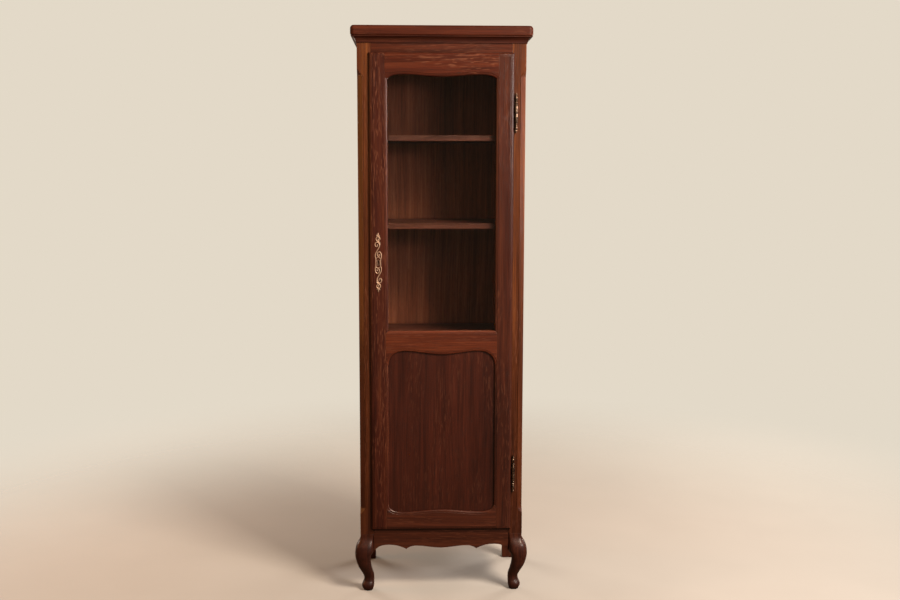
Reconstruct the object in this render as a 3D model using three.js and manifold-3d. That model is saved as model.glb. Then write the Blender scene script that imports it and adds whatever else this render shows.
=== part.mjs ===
// A tall, narrow display cabinet in stained oak: one door, glazed above and panelled below, hung between two
// chamfered posts on cabriole legs. The sides and back are framed panels, four shelves divide the inside, and
// a moulded cap covers the top. The door turns on two finialled knuckle hinges and has a cupboard lock.
// Millimetres: X to the right, -Y to the front, Z up. The origin is on the floor under the middle of the cap.
import * as THREE from "three";
import { mergeVertices } from "three/addons/utils/BufferGeometryUtils.js";
import Module from "manifold-3d";

const wasm = await Module();
wasm.setup();

// ---------------------------------------------------------------- driving dimensions

const HEIGHT = 1905;
const WIDTH = 593; // over the cap
const DEPTH = 372; // over the cap
const CAP_OVERHANG = 20.5; // in front of and beside the carcass
const CAP_THICKNESS = 33;
const JOINT = 0.3; // the line left between two pieces that are fixed together

const HALF = WIDTH / 2 - CAP_OVERHANG; // the carcass's outer side face
const FRONT = CAP_OVERHANG - DEPTH / 2; // the front posts' front face
const BACK = DEPTH / 2;
const CARCASS_TOP = HEIGHT - CAP_THICKNESS;

const POST = 45.3; // front post, square
const POST_INNER = HALF - POST;
const POST_BACK = FRONT + POST;
const LEG_TOP = 204;
const CHAMFER = 17.5;
const CHAMFER_BOTTOM = 300; // where the chamfer reaches its full width
const CHAMFER_TOP = 1740;
const CHAMFER_STOP = 30; // length of the curved stop at each end
const REAR_POST_WIDTH = 40;
const REAR_POST_DEPTH = 30;
const REAR_POST_INNER = HALF - REAR_POST_WIDTH;
const REAR_POST_FRONT = BACK - REAR_POST_DEPTH;

const RAIL = 22; // thickness of the carcass rails
const SIDE_OUTER = HALF - 1.5;
const SIDE_INNER = SIDE_OUTER - RAIL;
const PANEL = 8; // thickness of the carcass and door panels
const TONGUE = 6; // how far a panel's edge enters its groove
const SLACK = 0.3; // round a panel's edge in its groove
const SIDE_PANEL_OUTER = SIDE_OUTER - 7;
const BACK_RAIL_REAR = BACK - 6;
const BACK_RAIL_FRONT = BACK_RAIL_REAR - RAIL;
const BACK_PANEL_REAR = BACK_RAIL_REAR - 7;

const FRIEZE_BOTTOM = 1812;
const APRON_TOP = 227.5;
const APRON_FRONT = FRONT + 2.5;
const SIDE_TOP_RAIL_BOTTOM = 1792;
const SIDE_BOTTOM_RAIL_TOP = 276;
const BACK_BOTTOM_RAIL_BOTTOM = 186;

const SHELF_FRONT = FRONT + 14;
const SHELF_SIDE = SIDE_INNER - 1;
const SHELF_THICKNESS = 18;
const SHELF_TOPS = { top: 1554, second: 1265, lower: 550 };
const DIVIDER_TOP = 885;
const FLOOR_TOP = 230;
const CLEAT = 15; // square

// The door: a lip laps over the posts, and a narrower tongue behind it stands in the opening.
const DOOR_FACE = FRONT - 12.5;
const LIP_BACK = FRONT - 0.5;
const DOOR_BACK = FRONT + 9;
const LIP_HALF = 237;
const LIP_BOTTOM = 222.2;
const LIP_TOP = 1819.2;
const TONGUE_LEFT = -228.5;
const TONGUE_RIGHT = 221; // set back from the post so that the door can swing
const TONGUE_BOTTOM = 231;
const TONGUE_TOP = 1809;
// The moulding along the front edges: its radius, and how far in from the edge the raised flat face begins.
const OUTER_EDGE = { round: 8.5, inset: 11.5 };
const OPENING_EDGE = { round: 6, inset: 8.5 };
const FIELD_RISE = 1.5;
const OPENING_HALF = 177.5;
const MITRE = 8.5; // depth of the mitred corner where a rail's moulding meets a stile's
const GLASS_BOTTOM = 908;
const GLASS_CORNER = 1734.5; // where the arched head leaves the stile
const PANEL_TOP_CORNER = 792;
const PANEL_BOTTOM_CORNER = 310;
const REBATE_HALF = OPENING_HALF + MITRE;
const REBATE_BOTTOM = GLASS_BOTTOM - MITRE;
const REBATE_TOP = 1760;
const REBATE_FRONT = DOOR_FACE + 9.5;
const GLASS_THICKNESS = 3;
const BEAD = 8; // square
const DOOR_PANEL_FRONT = DOOR_FACE + 8.5;
const DOOR_PANEL_BOTTOM = 277;
const DOOR_PANEL_TOP = 847;

const HINGE_X = HALF - 32.5;
const HINGE_Y = FRONT - 6.5;
const HINGE_CENTRES = { upper: 1626, lower: 415 };
const KNUCKLE_RADIUS = 5.5;
const KNUCKLE_LENGTH = 27;
const FINIAL_LENGTH = 38;
const PIN_RADIUS = 2.5;
const BORE_RADIUS = 2.6;
const PIN_REACH = 22; // into each knuckle
const LEAF_THICKNESS = 2;
const LEAF_LENGTH = 30; // let into the wood

const KEY_X = -209.5;
const KEY_Z = 1137;
const ESCUTCHEON_THICKNESS = 1.6;
const LOCK = { width: 40, height: 62, thickness: 12 };
const BOLT = { length: 28, height: 16, thickness: 7, throw: 11 };

function finish(name, color, roughness, metalness, opacity = 1) {
  const transparent = opacity < 1;
  return new THREE.MeshStandardMaterial({ name, color, roughness, metalness, opacity, transparent });
}
const MATERIALS = {
  oakFrame: finish("oak_frame", 0x6b3a24, 0.38, 0),
  oakPanel: finish("oak_panel", 0x45200f, 0.42, 0),
  oakInterior: finish("oak_interior", 0x3a1f14, 0.65, 0),
  brass: finish("brass", 0xa07d55, 0.35, 1),
  steel: finish("steel", 0x5c5854, 0.45, 1),
  glass: finish("glass", 0xdfe6e2, 0.05, 0, 0.35),
};

// ---------------------------------------------------------------- solids

// Each axis an outline can be extruded along, as where the outline's x, y and depth directions go.
const BASES = {
  x: [new THREE.Vector3(0, 1, 0), new THREE.Vector3(0, 0, 1), new THREE.Vector3(1, 0, 0)],
  y: [new THREE.Vector3(1, 0, 0), new THREE.Vector3(0, 0, 1), new THREE.Vector3(0, -1, 0)],
  z: [new THREE.Vector3(1, 0, 0), new THREE.Vector3(0, 1, 0), new THREE.Vector3(0, 0, 1)],
};

function toSolid(geometry) {
  const bare = new THREE.BufferGeometry();
  bare.setAttribute("position", geometry.getAttribute("position"));
  bare.setIndex(geometry.index);
  const merged = mergeVertices(bare, 1e-3);
  const vertProperties = merged.getAttribute("position").array;
  const triVerts = new Uint32Array(merged.index.array);
  return new wasm.Manifold(new wasm.Mesh({ numProp: 3, vertProperties, triVerts }));
}

function toGeometry(solid) {
  const { vertProperties, triVerts } = solid.getMesh();
  const geometry = new THREE.BufferGeometry();
  geometry.setAttribute("position", new THREE.BufferAttribute(new Float32Array(vertProperties), 3));
  geometry.setIndex(new THREE.BufferAttribute(new Uint32Array(triVerts), 1));
  geometry.computeVertexNormals();
  return geometry;
}

function mirrorX(solid) {
  const geometry = toGeometry(solid).scale(-1, 1, 1);
  const index = geometry.index.array;
  for (let i = 0; i < index.length; i += 3) {
    [index[i + 1], index[i + 2]] = [index[i + 2], index[i + 1]];
  }
  return toSolid(geometry);
}

function box([x0, x1], [y0, y1], [z0, z1]) {
  const geometry = new THREE.BoxGeometry(x1 - x0, y1 - y0, z1 - z0);
  return toSolid(geometry.translate((x0 + x1) / 2, (y0 + y1) / 2, (z0 + z1) / 2));
}

const polygon = (corners) => new THREE.Shape(corners.map(([x, y]) => new THREE.Vector2(x, y)));

// Draws a line of cubic curves that is the same on both sides of the middle. curves lists its right half from
// the middle outwards, each as [control, control, end].
function drawRun(path, middle, curves, fromRight) {
  const starts = [middle, ...curves.map((curve) => curve[2])];
  const inward = curves.map(([a, b], i) => [b, a, starts[i]]).reverse();
  const flip = (curve) => curve.map(([x, y]) => [-x, y]);
  const run = fromRight ? [...inward, ...curves.map(flip)] : [...inward.map(flip), ...curves];
  for (const [a, b, end] of run) {
    path.bezierCurveTo(...a, ...b, ...end);
  }
}

// An outline extruded along an axis from one coordinate to the other. round, if given, rounds the edges at
// both ends, inside the outline; inset moves the whole outline inwards, and every hole in it outwards.
function extrude(axis, outline, from, to, options = {}) {
  const { round = 0, inset = 0, curveSegments = 12, roundSegments = 4 } = options;
  const shape = Array.isArray(outline) ? polygon(outline) : outline;
  const geometry = new THREE.ExtrudeGeometry(shape, {
    depth: to - from - 2 * round,
    steps: 1,
    curveSegments,
    bevelEnabled: round > 0,
    bevelSize: round,
    bevelThickness: round,
    bevelOffset: -round - inset,
    bevelSegments: roundSegments,
  });
  geometry.applyMatrix4(new THREE.Matrix4().makeBasis(...BASES[axis]));
  const start = axis === "y" ? -(to - round) : from + round;
  const shift = BASES[axis][2].clone().multiplyScalar(start);
  return toSolid(geometry.translate(shift.x, shift.y, shift.z));
}

// A closed skin over a stack of rings that all have the same number of points. The rings' points run
// anticlockwise when seen from the last ring's end.
function loft(rings) {
  const count = rings[0].length;
  const index = [];
  for (let r = 0; r + 1 < rings.length; r += 1) {
    for (let i = 0; i < count; i += 1) {
      const a = r * count + i;
      const b = r * count + ((i + 1) % count);
      index.push(a, b, b + count, a, b + count, a + count);
    }
  }
  const cap = (ring, first, facesBack) => {
    const across = ring[1].clone().sub(ring[0]).normalize();
    const normal = across.clone().cross(ring[2].clone().sub(ring[1])).normalize();
    const up = normal.cross(across);
    const contour = ring.map((point) => new THREE.Vector2(point.dot(across), point.dot(up)));
    for (const [a, b, c] of THREE.ShapeUtils.triangulateShape(contour, [])) {
      index.push(first + a, first + (facesBack ? c : b), first + (facesBack ? b : c));
    }
  };
  cap(rings[0], 0, true);
  cap(rings.at(-1), (rings.length - 1) * count, false);
  const geometry = new THREE.BufferGeometry().setFromPoints(rings.flat());
  geometry.setIndex(index);
  return toSolid(geometry);
}

// A profile of [radius, height] points turned round the Z axis. It starts and ends on the axis.
function turn(profile, segments = 16) {
  const points = profile.map(([radius, height]) => new THREE.Vector2(radius, height));
  const geometry = new THREE.LatheGeometry(points, segments);
  return toSolid(geometry.rotateX(Math.PI / 2));
}

const ease = (t) => t * t * (3 - 2 * t);
const clamp01 = (t) => Math.min(1, Math.max(0, t));

// ---------------------------------------------------------------- assembly

const cabinet = new THREE.Group();
const carcass = new THREE.Group();
const door = new THREE.Group();
cabinet.add(carcass, door);

function add(group, name, material, solid, position = [0, 0, 0]) {
  const mesh = new THREE.Mesh(toGeometry(solid), material);
  mesh.name = name;
  mesh.position.set(...position);
  group.add(mesh);
}

// Adds a right-hand piece and its mirror image.
function addPair(group, name, material, right, left = mirrorX(right)) {
  add(group, `${name}_left`, material, left);
  add(group, `${name}_right`, material, right);
}

// ---------------------------------------------------------------- carcass frame

// Stations down the right front leg: height, inner edge, outer edge, and how square the section is.
const LEG_STATIONS = [
  [0, 236.5, 265, 2.4],
  [6, 234, 269.5, 2.4],
  [13, 232, 272.5, 2.4],
  [20, 231.2, 273, 2.4],
  [34, 230.8, 267, 2.2],
  [45, 230.7, 265.6, 2.2],
  [57, 231.7, 269.3, 2.2],
  [72, 236, 276.5, 2.4],
  [84, 238.6, 282.5, 2.7],
  [95, 240.8, 286.8, 2.9],
  [108, 242.2, 290.5, 3],
  [120, 241.8, 293.4, 3.2],
  [130, 237.5, 294.8, 3.2],
  [139, 232.6, 295, 3.2],
  [148, 231, 294.5, 3.2],
  [162, 230.9, 291.6, 3.3],
  [172, 230.9, 287.5, 3.6],
  [179, 230.9, 281.8, 4.5],
  [184, 230.9, 278.5, 6],
  [190, 230.9, 276.6, 9],
  [LEG_TOP, 230.9, 276, 12],
];

function frontLeg() {
  const path = (column) => {
    const points = LEG_STATIONS.map((row) => new THREE.Vector3(row[0], row[column], row[3]));
    return new THREE.CatmullRomCurve3(points, false, "centripetal");
  };
  const [inner, outer] = [path(1), path(2)];
  const levels = 2 * (LEG_STATIONS.length - 1);
  const sides = 20;
  const rings = [];
  for (let i = 0; i <= levels; i += 1) {
    const { x: z, y: innerEdge, z: square } = inner.getPoint(i / levels);
    const outerEdge = outer.getPoint(i / levels).y;
    const half = (outerEdge - innerEdge) / 2;
    const centreX = (outerEdge + innerEdge) / 2;
    const centreY = FRONT + HALF - centreX;
    const ring = [];
    for (let k = 0; k < sides; k += 1) {
      const angle = (2 * Math.PI * (k + 0.5)) / sides;
      const reach = (c) => Math.sign(c) * Math.abs(c) ** (2 / square) * half;
      ring.push(new THREE.Vector3(centreX + reach(Math.cos(angle)), centreY + reach(Math.sin(angle)), z));
    }
    rings.push(ring);
  }
  return loft(rings);
}

// How wide the chamfer on a front post's outer corner is at a height: it curves out to nothing at its stops.
function chamferAt(z) {
  const rise = clamp01((z - CHAMFER_BOTTOM + CHAMFER_STOP) / CHAMFER_STOP);
  const fall = clamp01((CHAMFER_TOP + CHAMFER_STOP - z) / CHAMFER_STOP);
  return 1 + (CHAMFER - 1) * ease(Math.min(rise, fall));
}

function frontPost() {
  const steps = 6;
  const heights = [LEG_TOP + JOINT];
  for (let i = 0; i <= steps; i += 1) {
    heights.push(CHAMFER_BOTTOM - CHAMFER_STOP + (i / steps) * CHAMFER_STOP);
  }
  for (let i = 0; i <= steps; i += 1) {
    heights.push(CHAMFER_TOP + (i / steps) * CHAMFER_STOP);
  }
  heights.push(CARCASS_TOP - JOINT);
  const quirk = 1.4; // the fine groove along the chamfer's inner edge
  const rings = heights.map((z) => {
    const size = chamferAt(z);
    const groove = (quirk * size) / CHAMFER;
    return [
      [POST_INNER, FRONT],
      [HALF - size - 2 * groove, FRONT],
      [HALF - size - groove, FRONT + groove],
      [HALF - size, FRONT],
      [HALF, FRONT + size],
      [HALF, POST_BACK],
      [POST_INNER, POST_BACK],
    ].map(([x, y]) => new THREE.Vector3(x, y, z));
  });
  const panelGroove = box(
    [SIDE_PANEL_OUTER - PANEL - SLACK, SIDE_PANEL_OUTER + SLACK],
    [POST_BACK - TONGUE - SLACK, POST_BACK + 1],
    [LEG_TOP + 20, SIDE_TOP_RAIL_BOTTOM + TONGUE + SLACK],
  );
  return loft(rings).subtract(panelGroove);
}

function hingeLeafSlots() {
  const half = LEAF_THICKNESS / 2 + SLACK;
  return Object.values(HINGE_CENTRES).map((centre) =>
    box(
      [HINGE_X - half, HINGE_X + half],
      [FRONT - 1, FRONT + LEAF_LENGTH + SLACK],
      [centre - KNUCKLE_LENGTH - SLACK, centre + SLACK],
    ),
  );
}

const BOLT_Y = DOOR_BACK + LOCK.thickness / 2 + JOINT; // the middle of the bolt's thickness
const LOCK_END = KEY_X - LOCK.width / 2 + 2; // the lock's end that faces the post
const STRIKE = { thickness: 1.5, width: 20, height: 46 };

function strikeRecess() {
  const plate = box(
    [-POST_INNER - STRIKE.thickness, -POST_INNER + 1],
    [BOLT_Y - STRIKE.width / 2 - SLACK, BOLT_Y + STRIKE.width / 2 + SLACK],
    [KEY_Z - STRIKE.height / 2 - SLACK, KEY_Z + STRIKE.height / 2 + SLACK],
  );
  const mortise = box(
    [-POST_INNER - BOLT.throw - 4, -POST_INNER + 1],
    [BOLT_Y - BOLT.thickness / 2 - 1, BOLT_Y + BOLT.thickness / 2 + 1],
    [KEY_Z - BOLT.height / 2 - 1, KEY_Z + BOLT.height / 2 + 1],
  );
  return plate.add(mortise);
}

function strikePlate() {
  const plate = box(
    [-POST_INNER - STRIKE.thickness + 0.1, -POST_INNER],
    [BOLT_Y - STRIKE.width / 2, BOLT_Y + STRIKE.width / 2],
    [KEY_Z - STRIKE.height / 2, KEY_Z + STRIKE.height / 2],
  );
  const slot = box(
    [-POST_INNER - 5, -POST_INNER + 5],
    [BOLT_Y - BOLT.thickness / 2 - 0.5, BOLT_Y + BOLT.thickness / 2 + 0.5],
    [KEY_Z - BOLT.height / 2 - 0.5, KEY_Z + BOLT.height / 2 + 0.5],
  );
  return plate.subtract(slot);
}

function rearPost() {
  const post = box([REAR_POST_INNER, HALF], [REAR_POST_FRONT, BACK], [0, CARCASS_TOP - JOINT]);
  const sideGroove = box(
    [SIDE_PANEL_OUTER - PANEL - SLACK, SIDE_PANEL_OUTER + SLACK],
    [REAR_POST_FRONT - 1, REAR_POST_FRONT + TONGUE + SLACK],
    [LEG_TOP + 20, SIDE_TOP_RAIL_BOTTOM + TONGUE + SLACK],
  );
  const backGroove = box(
    [REAR_POST_INNER - 1, REAR_POST_INNER + TONGUE + SLACK],
    [BACK_PANEL_REAR - PANEL - SLACK, BACK_PANEL_REAR + SLACK],
    [LEG_TOP + 20, SIDE_TOP_RAIL_BOTTOM + TONGUE + SLACK],
  );
  return post.subtract(sideGroove).subtract(backGroove);
}

for (const side of ["left", "right"]) {
  const place = (solid) => (side === "left" ? mirrorX(solid) : solid);
  add(carcass, `front_leg_${side}`, MATERIALS.oakFrame, place(frontLeg()));
  add(carcass, `rear_post_${side}`, MATERIALS.oakFrame, place(rearPost()));
}
add(carcass, "front_post_left", MATERIALS.oakFrame, mirrorX(frontPost()).subtract(strikeRecess()));
const hingedPost = hingeLeafSlots().reduce((post, slot) => post.subtract(slot), frontPost());
add(carcass, "front_post_right", MATERIALS.oakFrame, hingedPost);
add(carcass, "strike_plate", MATERIALS.brass, strikePlate());

const RAIL_HALF = POST_INNER - JOINT;
const BACK_RAIL_HALF = REAR_POST_INNER - JOINT;
const SIDE_SPAN = [POST_BACK + JOINT, REAR_POST_FRONT - JOINT];

add(
  carcass,
  "frieze_rail",
  MATERIALS.oakFrame,
  box([-RAIL_HALF, RAIL_HALF], [FRONT, FRONT + RAIL], [FRIEZE_BOTTOM, CARCASS_TOP - JOINT]),
);

// The shaped front rail under the door: a serpentine with two pointed cusps.
function frontApron() {
  const foot = 139; // the lowest point, at the posts
  const middle = 154.2;
  const lower = [
    [[32, middle], [58, 162.2], [86, 161.7]],
    [[102, 161.2], [110, 158.2], [120, 150.2]],
    [[138, 161.2], [160, 166.2], [184, 165.7]],
    [[212, 165.2], [226, 153.2], [RAIL_HALF, foot]],
  ];
  const shape = new THREE.Shape();
  shape.moveTo(-RAIL_HALF, APRON_TOP);
  shape.lineTo(-RAIL_HALF, foot);
  drawRun(shape, [0, middle], lower, false);
  shape.lineTo(RAIL_HALF, APRON_TOP);
  return extrude("y", shape, APRON_FRONT, APRON_FRONT + RAIL, { curveSegments: 8 });
}
add(carcass, "front_apron", MATERIALS.oakFrame, frontApron());

// The shaped bottom rail of a side, with a housing for the floor board's edge.
function sideApron() {
  const [y0, y1] = SIDE_SPAN;
  const middle = (y0 + y1) / 2;
  const reach = (y1 - y0) / 2;
  const [foot, low, high] = [147, 162, 169];
  const shape = new THREE.Shape();
  shape.moveTo(y0, SIDE_BOTTOM_RAIL_TOP);
  shape.lineTo(y0, foot);
  shape.bezierCurveTo(y0 + 12, 161, y0 + 30, high, middle - 0.45 * reach, high);
  shape.bezierCurveTo(middle - 0.25 * reach, high, middle - 0.15 * reach, low, middle, low);
  shape.bezierCurveTo(middle + 0.15 * reach, low, middle + 0.25 * reach, high, middle + 0.45 * reach, high);
  shape.bezierCurveTo(y1 - 30, high, y1 - 12, 161, y1, foot);
  shape.lineTo(y1, SIDE_BOTTOM_RAIL_TOP);
  const rail = extrude("x", shape, SIDE_INNER, SIDE_OUTER, { curveSegments: 8 });
  const panelGroove = sidePanelGroove([SIDE_BOTTOM_RAIL_TOP - TONGUE - SLACK, SIDE_BOTTOM_RAIL_TOP + 1]);
  const floorHousing = box(
    [SIDE_INNER - 1, SIDE_INNER + 5 + SLACK],
    [y0 - 1, y1 + 1],
    [FLOOR_TOP - SHELF_THICKNESS - SLACK, FLOOR_TOP + SLACK],
  );
  return rail.subtract(panelGroove).subtract(floorHousing);
}

function sidePanelGroove(heights) {
  const x = [SIDE_PANEL_OUTER - PANEL - SLACK, SIDE_PANEL_OUTER + SLACK];
  return box(x, [SIDE_SPAN[0] - 1, SIDE_SPAN[1] + 1], heights);
}

const DIVIDER_BOTTOM = DIVIDER_TOP - SHELF_THICKNESS;
const SIDE_MID_RAIL = [DIVIDER_BOTTOM - JOINT - 60, DIVIDER_BOTTOM - JOINT];

function sideTopRail() {
  const rail = box([SIDE_INNER, SIDE_OUTER], SIDE_SPAN, [SIDE_TOP_RAIL_BOTTOM, CARCASS_TOP - JOINT]);
  return rail.subtract(sidePanelGroove([SIDE_TOP_RAIL_BOTTOM - 1, SIDE_TOP_RAIL_BOTTOM + TONGUE + SLACK]));
}

// The middle side rail stands further into the cabinet than the others, to carry the divider.
function sideMidRail() {
  const [bottom, top] = SIDE_MID_RAIL;
  return box([SIDE_INNER - 14, SIDE_OUTER], SIDE_SPAN, SIDE_MID_RAIL)
    .subtract(sidePanelGroove([bottom - 1, bottom + TONGUE + SLACK]))
    .subtract(sidePanelGroove([top - TONGUE - SLACK, top + 1]));
}

function sidePanel(bottom, top) {
  return box(
    [SIDE_PANEL_OUTER - PANEL, SIDE_PANEL_OUTER],
    [POST_BACK - TONGUE, REAR_POST_FRONT + TONGUE],
    [bottom - TONGUE, top + TONGUE],
  );
}

addPair(carcass, "side_apron", MATERIALS.oakFrame, sideApron());
addPair(carcass, "side_mid_rail", MATERIALS.oakFrame, sideMidRail());
addPair(carcass, "side_top_rail", MATERIALS.oakFrame, sideTopRail());
addPair(carcass, "side_panel_lower", MATERIALS.oakPanel, sidePanel(SIDE_BOTTOM_RAIL_TOP, SIDE_MID_RAIL[0]));
addPair(carcass, "side_panel_upper", MATERIALS.oakPanel, sidePanel(SIDE_MID_RAIL[1], SIDE_TOP_RAIL_BOTTOM));

// ---------------------------------------------------------------- back

const BACK_RAILS = {
  bottom: [BACK_BOTTOM_RAIL_BOTTOM, SIDE_BOTTOM_RAIL_TOP],
  mid: SIDE_MID_RAIL,
  top: [SIDE_TOP_RAIL_BOTTOM, CARCASS_TOP - JOINT],
};

function backRail([bottom, top], grooveBelow, grooveAbove) {
  const y = [BACK_PANEL_REAR - PANEL - SLACK, BACK_PANEL_REAR + SLACK];
  const across = [-HALF, HALF];
  let rail = box([-BACK_RAIL_HALF, BACK_RAIL_HALF], [BACK_RAIL_FRONT, BACK_RAIL_REAR], [bottom, top]);
  if (grooveBelow) {
    rail = rail.subtract(box(across, y, [bottom - 1, bottom + TONGUE + SLACK]));
  }
  if (grooveAbove) {
    rail = rail.subtract(box(across, y, [top - TONGUE - SLACK, top + 1]));
  }
  return rail;
}

function backPanel(bottom, top) {
  const half = REAR_POST_INNER + TONGUE;
  return box([-half, half], [BACK_PANEL_REAR - PANEL, BACK_PANEL_REAR], [bottom - TONGUE, top + TONGUE]);
}

add(carcass, "back_bottom_rail", MATERIALS.oakFrame, backRail(BACK_RAILS.bottom, false, true));
add(carcass, "back_mid_rail", MATERIALS.oakFrame, backRail(BACK_RAILS.mid, true, true));
add(carcass, "back_top_rail", MATERIALS.oakFrame, backRail(BACK_RAILS.top, true, false));
add(carcass, "back_panel_lower", MATERIALS.oakInterior, backPanel(BACK_RAILS.bottom[1], BACK_RAILS.mid[0]));
add(carcass, "back_panel_upper", MATERIALS.oakInterior, backPanel(BACK_RAILS.mid[1], BACK_RAILS.top[0]));

// ---------------------------------------------------------------- shelves, divider and floor

// A board cut round all four posts. side is its half width between the front and rear posts.
function notchedBoard(front, side, top) {
  const clear = 0.5;
  const frontHalf = POST_INNER - clear;
  const rearHalf = REAR_POST_INNER - clear;
  const notchFront = POST_BACK + clear;
  const notchRear = REAR_POST_FRONT - clear;
  const rear = BACK_RAIL_FRONT - clear;
  const right = [
    [frontHalf, front],
    [frontHalf, notchFront],
    [side, notchFront],
    [side, notchRear],
    [rearHalf, notchRear],
    [rearHalf, rear],
  ];
  const left = right.map(([x, y]) => [-x, y]).reverse();
  return extrude("z", [...right, ...left], top - SHELF_THICKNESS, top);
}

for (const [name, top] of Object.entries(SHELF_TOPS)) {
  const cleatTop = top - SHELF_THICKNESS - JOINT;
  const cleat = box([SHELF_SIDE - CLEAT, SHELF_SIDE], SIDE_SPAN, [cleatTop - CLEAT, cleatTop]);
  add(carcass, `shelf_${name}`, MATERIALS.oakInterior, notchedBoard(SHELF_FRONT, SHELF_SIDE, top));
  addPair(carcass, `shelf_cleat_${name}`, MATERIALS.oakInterior, cleat);
}
add(carcass, "shelf_divider", MATERIALS.oakInterior, notchedBoard(SHELF_FRONT, SHELF_SIDE, DIVIDER_TOP));
const floorFront = APRON_FRONT + RAIL + JOINT;
add(carcass, "floor_board", MATERIALS.oakInterior, notchedBoard(floorFront, SIDE_INNER + 5, FLOOR_TOP));

// ---------------------------------------------------------------- cap and cornice

// The cap's edge on the front and both sides: points of [inset, height], rounded below and more so above.
function capProfile() {
  const arc = (radius, z, turned) => {
    const points = [];
    for (let i = 0; i <= 5; i += 1) {
      const angle = (Math.PI / 2) * (i / 5);
      points.push(
        turned
          ? [radius * (1 - Math.cos(angle)), z + radius * Math.sin(angle)]
          : [radius * (1 - Math.sin(angle)), z - radius * Math.cos(angle)],
      );
    }
    return points;
  };
  const [small, large] = [5, 11];
  return [...arc(small, CARCASS_TOP + small, false), ...arc(large, HEIGHT - large, true)];
}

function topBoard() {
  const corner = 14; // radius of the cap's front corners, seen from above
  const rings = capProfile().map(([inset, z]) => {
    const half = WIDTH / 2 - inset;
    const front = -DEPTH / 2 + inset;
    const radius = corner - inset;
    const right = [];
    for (let i = 0; i <= 5; i += 1) {
      const angle = (Math.PI / 2) * (i / 5);
      right.push([half - radius * (1 - Math.sin(angle)), front + radius * (1 - Math.cos(angle))]);
    }
    right.push([half, BACK]);
    const left = right.map(([x, y]) => [-x, y]).reverse();
    return [...right, ...left].map(([x, y]) => new THREE.Vector3(x, y, z));
  });
  return loft(rings);
}
add(carcass, "top_board", MATERIALS.oakFrame, topBoard());

// The cove under the cap: points of [distance out from the carcass, height]. Its hollow faces down and out.
function coveProfile() {
  const [bottom, top] = [1850, CARCASS_TOP - JOINT];
  const [near, far, fillet] = [3, 18, 2.5];
  const points = [
    [JOINT, top],
    [JOINT, bottom],
    [near, bottom],
  ];
  for (let i = 0; i <= 6; i += 1) {
    const angle = (Math.PI / 2) * (i / 6);
    const out = near + (far - near) * (1 - Math.cos(angle));
    const rise = (top - bottom - 2 * fillet) * Math.sin(angle);
    points.push([out, bottom + fillet + rise]);
  }
  points.push([far, top]);
  return points;
}

// A moulding with the cove's profile between two ends; place puts a profile point at an end.
function mouldingRun(places) {
  const profile = coveProfile();
  return loft(places.map((place) => profile.map(([out, z]) => new THREE.Vector3(...place(out), z))));
}

const coveFront = mouldingRun([
  (out) => [HALF + out - JOINT, FRONT - out],
  (out) => [-HALF - out + JOINT, FRONT - out],
]);
const coveRight = mouldingRun([
  (out) => [HALF + out, BACK],
  (out) => [HALF + out, FRONT - out + JOINT],
]);
add(carcass, "cornice_cove_front", MATERIALS.oakFrame, coveFront);
addPair(carcass, "cornice_cove", MATERIALS.oakFrame, coveRight);

// ---------------------------------------------------------------- door

// The glazed opening: straight below, with a shallow serpentine head.
function glassOpening() {
  const [dip, peak] = [1741.5, 1748.7];
  const head = [
    [[46, dip], [82, peak], [125, peak]],
    [[152, peak], [170, GLASS_CORNER + 9], [OPENING_HALF, GLASS_CORNER]],
  ];
  const path = new THREE.Path();
  path.moveTo(-OPENING_HALF, GLASS_BOTTOM);
  path.lineTo(OPENING_HALF, GLASS_BOTTOM);
  path.lineTo(OPENING_HALF, GLASS_CORNER);
  drawRun(path, [0, dip], head, true);
  path.lineTo(-OPENING_HALF, GLASS_BOTTOM);
  return path;
}

// The panelled opening: serpentine at both ends, with rounded corners.
function panelOpening() {
  const [low, rise, dip, peak] = [284.5, 292.5, 826.6, 838.5];
  const foot = [
    [[45, rise], [85, low], [128, low]],
    [[160, low], [OPENING_HALF, low + 9], [OPENING_HALF, PANEL_BOTTOM_CORNER]],
  ];
  const head = [
    [[45, dip], [80, peak], [124, peak]],
    [[158, peak], [OPENING_HALF, peak - 21], [OPENING_HALF, PANEL_TOP_CORNER]],
  ];
  const path = new THREE.Path();
  path.moveTo(-OPENING_HALF, PANEL_BOTTOM_CORNER);
  drawRun(path, [0, rise], foot, false);
  path.lineTo(OPENING_HALF, PANEL_TOP_CORNER);
  drawRun(path, [0, dip], head, true);
  path.lineTo(-OPENING_HALF, PANEL_BOTTOM_CORNER);
  return path;
}

function rectangle(left, right, bottom, top) {
  return polygon([
    [left, bottom],
    [right, bottom],
    [right, top],
    [left, top],
  ]);
}

function pierced(outline) {
  outline.holes.push(glassOpening(), panelOpening());
  return outline;
}

// A layer of the door's lip. The edges of its openings are worked less deeply than its outer edge.
function lipLayer(front, back, outerEdge, openingEdge) {
  const outer = rectangle(-LIP_HALF, LIP_HALF, LIP_BOTTOM, LIP_TOP);
  const openings = pierced(rectangle(-HALF, HALF, 0, HEIGHT));
  return extrude("y", outer, front, back, outerEdge).intersect(extrude("y", openings, front, back, openingEdge));
}

// The keyhole: a round top and a straight slot below it.
function keyhole() {
  const shape = new THREE.Shape();
  shape.moveTo(KEY_X - 1.5, KEY_Z - 9);
  shape.lineTo(KEY_X + 1.5, KEY_Z - 9);
  shape.lineTo(KEY_X + 1.5, KEY_Z + 2);
  shape.absarc(KEY_X, KEY_Z + 4.6, 3, -Math.PI / 3, (4 * Math.PI) / 3, false);
  shape.lineTo(KEY_X - 1.5, KEY_Z - 9);
  return shape;
}

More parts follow.
